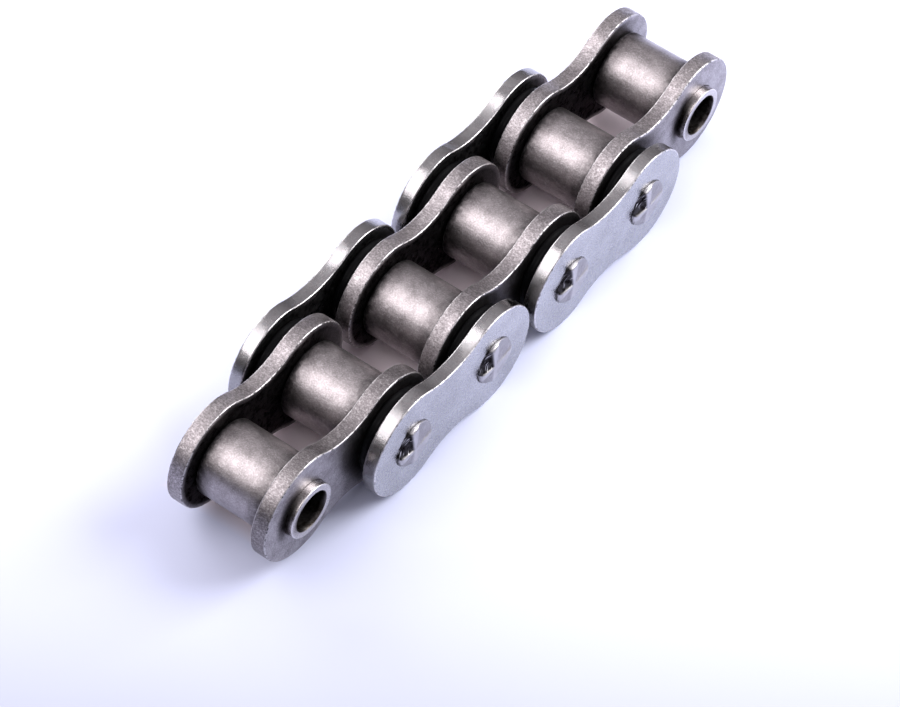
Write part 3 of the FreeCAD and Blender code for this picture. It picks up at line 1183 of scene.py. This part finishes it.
@dataclass
class LinkPlate(Piece):
    """Figure-of-eight plate with a die-rolled outer edge, a sheared band and two holes.

    Attributes:
        side: which side of the chain it lies on.
        seed: moves the shearing marks, so that no two plates are alike.
        waist_depth: how far the waist dips below the tops of the round ends.
        hole_radius: radius of the two holes.
        hole_bevel: bevel of the holes at the outer face.
        bush_dirt: how dirty the outer face is round a bush that stands free.
        shear_depth: depth of the marks that shearing leaves on the band.
        shear_size: size of those marks along the band, and across it.
        shear_from: noise above which they bite into the band.
        outer_fillet: radius of the outer face's edge.
        inner_fillet: radius of the inner face's edge.
        end_steps: chords in each round end.
        waist_steps: chords in each half of a waist's arc.
        band_steps: strips across the sheared band.
        fillet_steps: chords in each face's edge.
        face_steps: rings between a hole and the outline.
        ring_power: power of those rings' spacing; under 1 draws them towards the hole.
        mid_steps: chords across the middle of the link.
        lip_steps: chords in the rounded lip of each hole.
        mouth_margin: distance of the last ring from the lip.
        inner_grime: how dirty the inner face is, with the shade between the plates
            painted on it.
        clean_reach: where that dirt and painted shade start to fade along the link, and where
            they end.
        least_inner_dirt: share of it that stays however far it fades.
        sealed_holes: places along the link of the holes that a seal lies round.
        holes_along: places along the link of both holes.
        oil_reach: where the oil and painted shade round such a hole start to fade, and
        where they end.
        bush_dirt_reach: the same for the dirt round a bush that stands free.
        oil_grime: how dirty the oil makes it, with shade painted where the outer plate covers it.
        band_grime: how dirty the sheared band is.
        holes: for each hole, the vertex indices of its rim on each face.
    """

    side: Side
    seed: float
    waist_depth: float
    hole_radius: float
    hole_bevel: float
    bush_dirt: float
    shear_depth: float
    shear_size: tuple[float, float] = (0.5 * MM, 4.0 * MM)
    shear_from: float = 0.2
    outer_fillet: float = 0.19 * MM
    inner_fillet: float = 0.18 * MM
    end_steps: int = 132
    waist_steps: int = 20
    band_steps: int = 6
    fillet_steps: int = 4
    face_steps: int = 9
    ring_power: float = 0.8
    mid_steps: int = 26
    lip_steps: int = 5
    mouth_margin: float = 0.08 * MM
    inner_grime: float = 0.96
    clean_reach: Span = (SIZES.pitch + 2 * MM, SIZES.pitch + 17 * MM)
    least_inner_dirt: float = 0.1
    sealed_holes: tuple[float, ...] = ()
    holes_along: tuple[float, float] = (0.0, SIZES.pitch)
    oil_reach: Span = (6.6 * MM, 9.4 * MM)
    bush_dirt_reach: Span = (4.3 * MM, 5.5 * MM)
    oil_grime: float = 0.66
    band_grime: float = 0.0
    holes: dict[float, list[list[int]]] = field(default_factory=dict, init=False)

    def contour(self) -> list[tuple[Vector, Vector]]:
        """Points of the outline with their outward directions.

        Returns:
            list[tuple[Vector, Vector]]: anticlockwise, from the middle of the waist's lower arc.
        """
        half_span = SIZES.pitch / 2
        radius = SIZES.plate_end_radius
        half_waist = radius - self.waist_depth
        waist_radius = (half_span ** 2 + half_waist ** 2 - radius ** 2) / (2 * self.waist_depth)
        waist_centre = half_waist + waist_radius
        touch = math.atan2(waist_centre, half_span)
        half = [
            *arc_points(Vector((0, -waist_centre)), waist_radius, math.pi / 2, touch,
                        self.waist_steps, -1),
            *arc_points(Vector((half_span, 0)), radius, touch - math.pi, math.pi - touch,
                        self.end_steps, 1),
            *arc_points(Vector((0, waist_centre)), waist_radius, -touch, -math.pi / 2,
                        self.waist_steps, -1),
        ]
        return half + [(-point, -direction) for point, direction in half]

    def edge_profile(self, thickness: float) -> list[tuple[float, float, float, float]]:
        """Section across the plate's edge, from the inner face to the outer face.

        Args:
            thickness: the plate's thickness.

        Returns:
            list[tuple[float, float, float, float]]: inset from the outline, height above the inner
            face, and the marks "edge" and "band".
        """
        turns = [math.pi / 2 * step / self.fillet_steps for step in range(self.fillet_steps + 1)]
        low, high = self.inner_fillet, thickness - self.outer_fillet
        return [
            *((self.inner_fillet * (1 - math.sin(turn)), self.inner_fillet * (1 - math.cos(turn)),
               math.sin(2 * turn), math.sin(turn)) for turn in turns),
            *((0.0, low + (high - low) * step / self.band_steps, 0.0, 1.0)
              for step in range(1, self.band_steps)),
            *((self.outer_fillet * (1 - math.cos(turn)),
               thickness - self.outer_fillet * (1 - math.sin(turn)),
               math.sin(2 * turn), math.cos(turn)) for turn in turns),
        ]

    def shear(self, point: Vector, height: float) -> float:
        """How deep a shearing mark bites into the band.

        Args:
            point: place on the outline.
            height: height above the inner face.

        Returns:
            float: the depth, which is 0 between the marks.
        """
        along, across = self.shear_size
        key = Vector((point.x / along, point.y / along, self.seed + height / across))
        return max(0.0, (noise.noise(key) - self.shear_from) * self.shear_depth)

    def mesh(self) -> MeshData:
        """Builds the plate.

        Returns:
            MeshData: a closed plate as thick as the node's box, in its link's frame.
        """
        low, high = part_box(self.node)
        thickness = high.y - low.y
        inner_face = low.y if self.side is Side.FAR else -high.y
        outline = self.contour()
        data = MeshData()
        rings = []
        for inset, height, corner, band in self.edge_profile(thickness):
            level = self.side.value * (inner_face + height)
            ring = []
            for point, outward in outline:
                spot = point - outward * (inset + self.shear(point, height) * band)
                ring.append(data.add(Vector((spot.x + SIZES.pitch / 2, level, spot.y)), corner, band,
                                     self.band_grime * band))
            rings.append(ring)
        for first, second in zip(rings, rings[1:]):
            data.join_rings(first, second)
        for is_outer, rim in ((False, rings[0]), (True, rings[-1])):
            self.add_face(data, rim, is_outer)
        for first, second in self.holes.values():
            data.join_rings(first, second)
        return data

    def add_face(self, data: MeshData, rim: Sequence[int], is_outer: bool) -> None:
        """Fills one face, half by half, between its rim and its two holes.

        Args:
            data: the mesh to add to.
            rim: vertex indices of the face's rim.
            is_outer: whether this is the outer face.
        """
        half_count = len(rim) // 2
        top, bottom = rim[half_count], rim[0]
        middle = []
        for step in range(1, self.mid_steps):
            spot = data.points[top].lerp(data.points[bottom], step / self.mid_steps)
            middle.append(data.add(spot, grime=self.dirt(spot, is_outer)))
        right = rim[:half_count + 1] + middle
        left = rim[half_count:] + [bottom] + middle[::-1]
        for border, hole_along in ((right, SIZES.pitch), (left, 0.0)):
            self.add_half_face(data, border, hole_along, is_outer)

    def add_half_face(self, data: MeshData, border: Sequence[int], hole_along: float,
                      is_outer: bool) -> None:
        """Fills one half of a face between its border and its hole.

        Args:
            data: the mesh to add to.
            border: vertex indices round the half, the middle line included.
            hole_along: the hole's place along the link.
            is_outer: whether this is the outer face.
        """
        mouth_radius = self.hole_radius + (self.hole_bevel if is_outer else 0.0)
        centre = Vector((hole_along, data.points[border[0]].y, 0))
        last = list(border)
        for step in range(1, self.face_steps + 2):
            share = min(1.0, step / self.face_steps) ** self.ring_power
            margin = 0.0 if step > self.face_steps else self.mouth_margin
            ring = []
            for index in border:
                ray = data.points[index] - centre
                mouth = centre + ray.normalized() * (mouth_radius + margin)
                spot = data.points[index].lerp(mouth, share)
                ring.append(data.add(spot, grime=self.dirt(spot, is_outer)))
            data.join_rings(last, ring)
            last = ring
        if is_outer:
            last = self.add_lip(data, border, centre, last)
        self.holes.setdefault(hole_along, []).append(last)

    def add_lip(self, data: MeshData, border: Sequence[int], centre: Vector,
                last: Sequence[int]) -> list[int]:
        """Rounds the outer face down into a hole.

        Args:
            data: the mesh to add to.
            border: vertex indices round the half of the face, which give the lip its directions.
            centre: the hole's centre on the face.
            last: vertex indices of the ring that the lip starts from.

        Returns:
            list[int]: vertex indices of the ring where it ends, in the hole.
        """
        # The lip darkens into the hole: painted shade of the groove round the head, with dirt.
        for step in range(1, self.lip_steps + 1):
            turn = math.pi / 2 * step / self.lip_steps
            radius = self.hole_radius + self.hole_bevel * (1 - math.sin(turn))
            sunk = Vector((0, -self.side.value * self.hole_bevel * (1 - math.cos(turn)), 0))
            ring = []
            for index in border:
                ray = data.points[index] - centre
                ring.append(data.add(centre + ray.normalized() * radius + sunk, grime=math.sin(turn)))
            data.join_rings(last, ring)
            last = ring
        return last

    def dirt(self, spot: Vector, is_outer: bool) -> float:
        """Dirt and painted shade at a place on a face.

        Args:
            spot: the place, in the plate's frame.
            is_outer: whether it is on the outer face, where dirt lies only round the holes: wide
            round a sealed hole, with shade painted where the outer plate covers it, and narrow round
            a bush that stands free.

        Returns:
            float: how dirty the place is and how much shade is painted on it, 0 to 1.
        """
        # On the inner face, shade between the plates is painted in with dirt; it fades only towards an
        # open end.
        if not is_outer:
            start, end = self.clean_reach
            fading = (end - spot.x) / (end - start)
            return self.inner_grime * min(1.0, max(self.least_inner_dirt, fading))
        dirt = 0.0
        # Round a sealed hole, shade is painted where the outer plate covers the face, with oil; round a
        # free bush there is dirt alone.
        for hole_along in self.holes_along:
            distance = math.hypot(spot.x - hole_along, spot.z)
            is_sealed = hole_along in self.sealed_holes
            start, end = self.oil_reach if is_sealed else self.bush_dirt_reach
            most = self.oil_grime if is_sealed else (
                self.bush_dirt * BUSH_DIRT_SECTOR.share(spot.x - hole_along, spot.z))
            dirt = max(dirt, most * min(1.0, (end - distance) / (end - start)))
        return dirt


@dataclass
class InnerPlate(LinkPlate):
    """Plate pressed on two bushes."""

    slot: ClassVar[Slot] = Slot.INNER_PLATE
    waist_depth: float = SIZES.inner_waist_depth
    hole_radius: float = SIZES.bush_radius
    hole_bevel: float = 0.1 * MM
    bush_dirt: float = 0.9
    shear_depth: float = 0.015 * MM


@dataclass
class OuterPlate(LinkPlate):
    """Plate pressed on two pins, whose heads spread into the rounded lips of its holes."""

    slot: ClassVar[Slot] = Slot.OUTER_PLATE
    waist_depth: float = SIZES.outer_waist_depth
    hole_radius: float = SIZES.pin_radius
    hole_bevel: float = 0.55 * MM
    bush_dirt: float = 0.0
    shear_depth: float = 0.01 * MM


def direction_of(azimuth: float, elevation: float) -> Vector:
    """Direction towards something seen at an azimuth and elevation from the object.

    Args:
        azimuth: turn about the vertical, with 0 towards -Y and a quarter turn towards +X.
        elevation: height above the horizon.

    Returns:
        Vector: a unit vector.
    """
    return Vector((math.sin(azimuth) * math.cos(elevation), -math.cos(azimuth) * math.cos(elevation),
                   math.sin(elevation)))


@dataclass
class PhotoCamera:
    """Camera at the photograph's viewing angle.

    Attributes:
        azimuth: turn about the vertical, with 0 looking along +Y.
        elevation: height above the horizon.
        roll: turn about the viewing line.
        target: point that the camera looks at.
        distance: from the target to the lens.
        focal_length: in millimetres.
        sensor_width: in millimetres.
        clip: distances of the nearest and of the farthest thing that it sees.
    """

    azimuth: float = math.radians(-55.687)
    elevation: float = math.radians(51.409)
    roll: float = math.radians(3.251)
    target: Vector = field(default_factory=lambda: Vector((-10.405, -6.359, 7.4)) * MM)
    distance: float = 465.48 * MM
    focal_length: float = 155.70
    sensor_width: float = 36.0
    clip: Span = (0.01, 20.0)

    def build(self) -> None:
        """Makes the camera the scene's own."""
        lens = bpy.data.cameras.new("photo_camera")
        lens.lens = self.focal_length
        lens.sensor_width = self.sensor_width
        lens.clip_start, lens.clip_end = self.clip
        camera = bpy.data.objects.new("photo_camera", lens)
        back = direction_of(self.azimuth, self.elevation)
        right = Vector((math.cos(self.azimuth), math.sin(self.azimuth), 0))
        up = back.cross(right)
        rolled_right = right * math.cos(self.roll) + up * math.sin(self.roll)
        rolled_up = up * math.cos(self.roll) - right * math.sin(self.roll)
        turn = Matrix((rolled_right, rolled_up, back)).transposed().to_4x4()
        camera.matrix_world = Matrix.Translation(self.target + back * self.distance) @ turn
        bpy.context.scene.collection.objects.link(camera)
        bpy.context.scene.camera = camera


@dataclass(frozen=True)
class Softbox:
    """Square lamp with a soft front.

    Attributes:
        name: the lamp's name.
        azimuth: where it hangs, as for the camera.
        elevation: how high it hangs.
        distance: from the object.
        width: of its front.
        power: in watts.
        tint: its colour.
    """

    name: str
    azimuth: float
    elevation: float
    distance: float
    width: float
    power: float
    tint: Colour = WHITE

    def build(self) -> None:
        """Hangs the lamp, turned to the object."""
        lamp = bpy.data.lights.new(self.name, "AREA")
        lamp.shape = "SQUARE"
        lamp.size = self.width
        lamp.energy = self.power
        lamp.color = self.tint
        made = bpy.data.objects.new(self.name, lamp)
        direction = direction_of(self.azimuth, self.elevation)
        made.location = direction * self.distance
        made.rotation_euler = direction.to_track_quat("Z", "Y").to_euler()
        bpy.context.scene.collection.objects.link(made)


@dataclass(frozen=True)
class FloorFinish:
    """Pale matt floor, darker to one side by painted fall-off of light, and warmer close under the
    object.

    Attributes:
        tone: colour in the open.
        shaded_tone: colour under the object, where the steel throws warm light back on it.
        under_size: half length and half width of that warm patch, in millimetres.
        under_shift: distance of its middle line from the chain's own, towards +Y, in millimetres.
        blend: width in millimetres over which it gives way to the open tone.
        fade_turn: direction in which the painted fall-off of light darkens the floor,
            about the vertical.
        fades: spans of that painted fall-off, each as its start and end in millimetres
            and the share of the tone left at its end.
        mottle: faint darker patches.
        mottle_share: share of the tone left in the darkest of them.
    """

    tone: Colour = (0.735, 0.77, 0.99)
    shaded_tone: Colour = (0.97, 0.85, 0.9)
    under_size: tuple[float, float] = (40.0, 5.0)
    under_shift: float = 4.0
    blend: float = 3.0
    fade_turn: float = math.radians(-55.7)
    fades: tuple[tuple[float, float, float], ...] = ((12.0, 66.0, 0.53), (62.0, 150.0, 0.42))
    mottle: Pattern = Pattern(0.02, detail=2.0)
    mottle_share: float = 0.99

    def material(self, name: str) -> bpy.types.Material:
        """Builds the material.

        Args:
            name: the material's name.

        Returns:
            bpy.types.Material: matt, with a faint mottle.
        """
        board = NodeBoard(bpy.data.materials.new(name))
        where = board.millimetres()
        parts = board.node("SeparateXYZ")
        board.join(where, parts.inputs[0])
        shifted = board.maths("SUBTRACT", parts.outputs["Y"], self.under_shift)
        outside = [board.spread(board.maths("ABSOLUTE", place, 0.0), (half_size, half_size + self.blend))
                   for place, half_size in zip((parts.outputs["X"], shifted), self.under_size)]
        colour = board.mix(board.maths("MAXIMUM", *outside), self.shaded_tone, self.tone)
        # Painted fall-off of light: the floor darkens towards the camera's side.
        toward = board.maths("ADD", board.product(parts.outputs["X"], math.sin(self.fade_turn)),
                             board.product(parts.outputs["Y"], -math.cos(self.fade_turn)))
        shade = board.pattern(where, self.mottle, (self.mottle_share, 1.0))
        for start, end, share in self.fades:
            shade = board.product(shade, board.spread(toward, (start, end), (1.0, share)))
        dimmed = board.node("VectorMath", operation="SCALE")
        board.join(colour, dimmed.inputs[0])
        board.join(shade, dimmed.inputs["Scale"])
        shader = board.node("BsdfDiffuse")
        board.join(dimmed.outputs["Vector"], shader.inputs["Color"])
        return board.show(shader)


@dataclass
class Studio:
    """Pale floor, soft lamps and the light of a white tent over the object.

    Attributes:
        floor_reach: half side of the square floor.
        floor_finish: its finish.
        tent_tone: colour of the tent's light.
        horizon_light: strength of that light at the horizon.
        zenith_light: strength of it overhead.
        opening_turn: azimuth of the tent's dark opening.
        opening_light: share of the light that is left there.
        opening_width: cosine of the turn from its middle where it starts, and where it is open.
        opening_height: sine of the elevation where it starts to close, and where it is closed.
        lamps: the lamps.
    """

    floor_reach: float = 1.5
    floor_finish: FloorFinish = FloorFinish()
    tent_tone: Colour = (1.0, 0.95, 1.0)
    horizon_light: float = 0.18
    zenith_light: float = 0.8
    opening_turn: float = math.radians(-65)
    opening_light: float = 0.12
    opening_width: Span = (0.45, 0.8)
    opening_height: Span = (0.35, 0.6)
    lamps: tuple[Softbox, ...] = (
        Softbox("key_softbox", math.radians(-129), math.radians(55), distance=4.0, width=3.2,
                power=108.0, tint=(1.0, 0.965, 0.975)),
        Softbox("front_softbox", math.radians(50), math.radians(39), distance=0.8, width=0.5,
                power=8.2),
        Softbox("back_softbox", math.radians(168), math.radians(32), distance=0.8, width=0.5,
                power=3.2),
    )

    def build(self) -> None:
        """Lays the floor, hangs the lamps and lights the tent."""
        bpy.context.scene.view_settings.view_transform = "Standard"
        self.build_floor()
        for lamp in self.lamps:
            lamp.build()
        bpy.context.scene.world = self.tent()

    def build_floor(self) -> None:
        """Lays the floor."""
        reach = self.floor_reach
        corners = [(-reach, -reach, 0), (reach, -reach, 0), (reach, reach, 0), (-reach, reach, 0)]
        mesh = bpy.data.meshes.new("floor")
        mesh.from_pydata(corners, [], [(0, 1, 2, 3)])
        floor = bpy.data.objects.new("floor", mesh)
        mesh.materials.append(self.floor_finish.material("pale_floor"))
        bpy.context.scene.collection.objects.link(floor)

    def tent(self) -> bpy.types.World:
        """World that glows like a tent: bright overhead, dim at the horizon, dark at its opening.

        Returns:
            bpy.types.World: the world.
        """
        board = NodeBoard(bpy.data.worlds.new("tent"))
        direction = board.node("TexCoord").outputs["Generated"]
        parts = board.node("SeparateXYZ")
        board.join(direction, parts.inputs[0])
        light = board.spread(parts.outputs["Z"], (0.0, 1.0), (self.horizon_light, self.zenith_light))
        facing = board.node("VectorMath", operation="DOT_PRODUCT")
        facing.inputs[1].default_value = direction_of(self.opening_turn, 0.0)
        board.join(direction, facing.inputs[0])
        sideways = board.spread(facing.outputs["Value"], self.opening_width, curve="SMOOTHSTEP")
        upward = board.spread(parts.outputs["Z"], self.opening_height, (1.0, 0.0), "SMOOTHSTEP")
        left = board.spread(board.product(sideways, upward), (0.0, 1.0), (1.0, self.opening_light),
                            "SMOOTHSTEP")
        backdrop = board.node("Background")
        backdrop.inputs["Color"].default_value = (*self.tent_tone, 1.0)
        board.join(board.product(light, left), backdrop.inputs["Strength"])
        return board.show(backdrop)


@dataclass
class Chain:
    """The whole length of chain: three inner links, two outer links and six rollers.

    Attributes:
        line: its axes.
        staked_at: where the middle of each pin's cross stands on its ends.
        inner_seed_step: how far apart the shearing marks of two inner links are taken.
        outer_seed_step: the same for the outer links.
        first_band_grime: how dirty the sheared edge of the nearest inner plate is.
        last_clean_reach: where the dirt and painted shade inside the last link start to fade
        towards its open end, and where they end.
        materials: one for each slot.
    """

    line: ChainLine
    staked_at: tuple[tuple[float, float], ...] = (
        (-0.35 * MM, -0.5 * MM), (-0.45 * MM, -0.4 * MM), (-0.2 * MM, -0.3 * MM),
        (-0.4 * MM, -0.25 * MM))
    inner_seed_step: float = 7.3
    outer_seed_step: float = 11.9
    first_band_grime: float = 0.25
    last_clean_reach: Span = (SIZES.pitch - 1 * MM, SIZES.pitch + 6 * MM)
    materials: dict[Slot, bpy.types.Material] = field(default_factory=dict)

    def add(self, kind: type[Piece], node: str, body: str, place: Matrix, **details: object) -> None:
        """Builds one piece in the material of its slot."""
        kind(node, body, place, self.materials[kind.slot], **details).build()

    def across(self, axis: int) -> Matrix:
        """Frame of a turned piece: its Y axis is the axis of that number, from 1 to 6."""
        start = self.line.axes[axis - 1]
        return Matrix.Translation(Vector((start.x, 0, start.z)))

    def build_inner_link(self, number: int) -> None:
        """Builds one inner link: two plates, two bushes and the rollers on them.

        Args:
            number: the inner link, counted from 1.
        """
        body = f"inner_link_{number}"
        place = self.line.link(2 * (number - 1))
        is_first, is_last = number == 1, number == INNER_LINKS
        sealed_holes = tuple(along for along, is_free in ((0.0, is_first), (SIZES.pitch, is_last))
                             if not is_free)
        for side in Side:
            is_nearest = is_first and side is Side.NEAR
            self.add(InnerPlate, f"{side.word}_inner_plate_{number}", body, place, side=side,
                     seed=number * self.inner_seed_step + side.value, sealed_holes=sealed_holes,
                     clean_reach=self.last_clean_reach if is_last else LinkPlate.clean_reach,
                     band_grime=self.first_band_grime if is_nearest else LinkPlate.band_grime)
        for axis in (2 * number - 1, 2 * number):
            self.add(Bush, f"bush_{axis}", body, self.across(axis), link=number)
            self.add(Roller, f"roller_{axis}", f"roller_{axis}", self.across(axis))

    def build_outer_link(self, number: int) -> None:
        """Builds one outer link: two plates and two pins.

        Args:
            number: the outer link, counted from 1.
        """
        body = f"outer_link_{number}"
        place = self.line.link(2 * number - 1)
        for side in Side:
            self.add(OuterPlate, f"{side.word}_outer_plate_{number}", body, place, side=side,
                     seed=number * self.outer_seed_step + side.value)
        for pin in (2 * number - 1, 2 * number):
            self.add(StakedPin, f"pin_{pin}", body, self.across(pin + 1),
                     off_centre=self.staked_at[pin - 1])

    def build_seals(self) -> None:
        """Builds the ring seals on the bush ends that the outer plates cover."""
        for number in range(1, 2 * OUTER_LINKS + 1):
            body = f"inner_link_{number // 2 + 1}"
            for side in Side:
                self.add(RingSeal, f"{side.word}_seal_{number}", body, self.across(number + 1))

    def build(self) -> None:
        """Makes the materials and builds every piece of the chain."""
        self.materials = {slot: finish.material(slot.value) for slot, finish in FINISHES.items()}
        for number in range(1, INNER_LINKS + 1):
            self.build_inner_link(number)
        for number in range(1, OUTER_LINKS + 1):
            self.build_outer_link(number)
        self.build_seals()


def main() -> None:
    """Builds the camera, the studio and the chain, in that order."""
    logging.basicConfig(level=logging.INFO, format="%(name)s: %(message)s")
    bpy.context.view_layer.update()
    PhotoCamera().build()
    Studio().build()
    Chain(ChainLine.from_frame()).build()


if __name__ == "__main__":
    main()
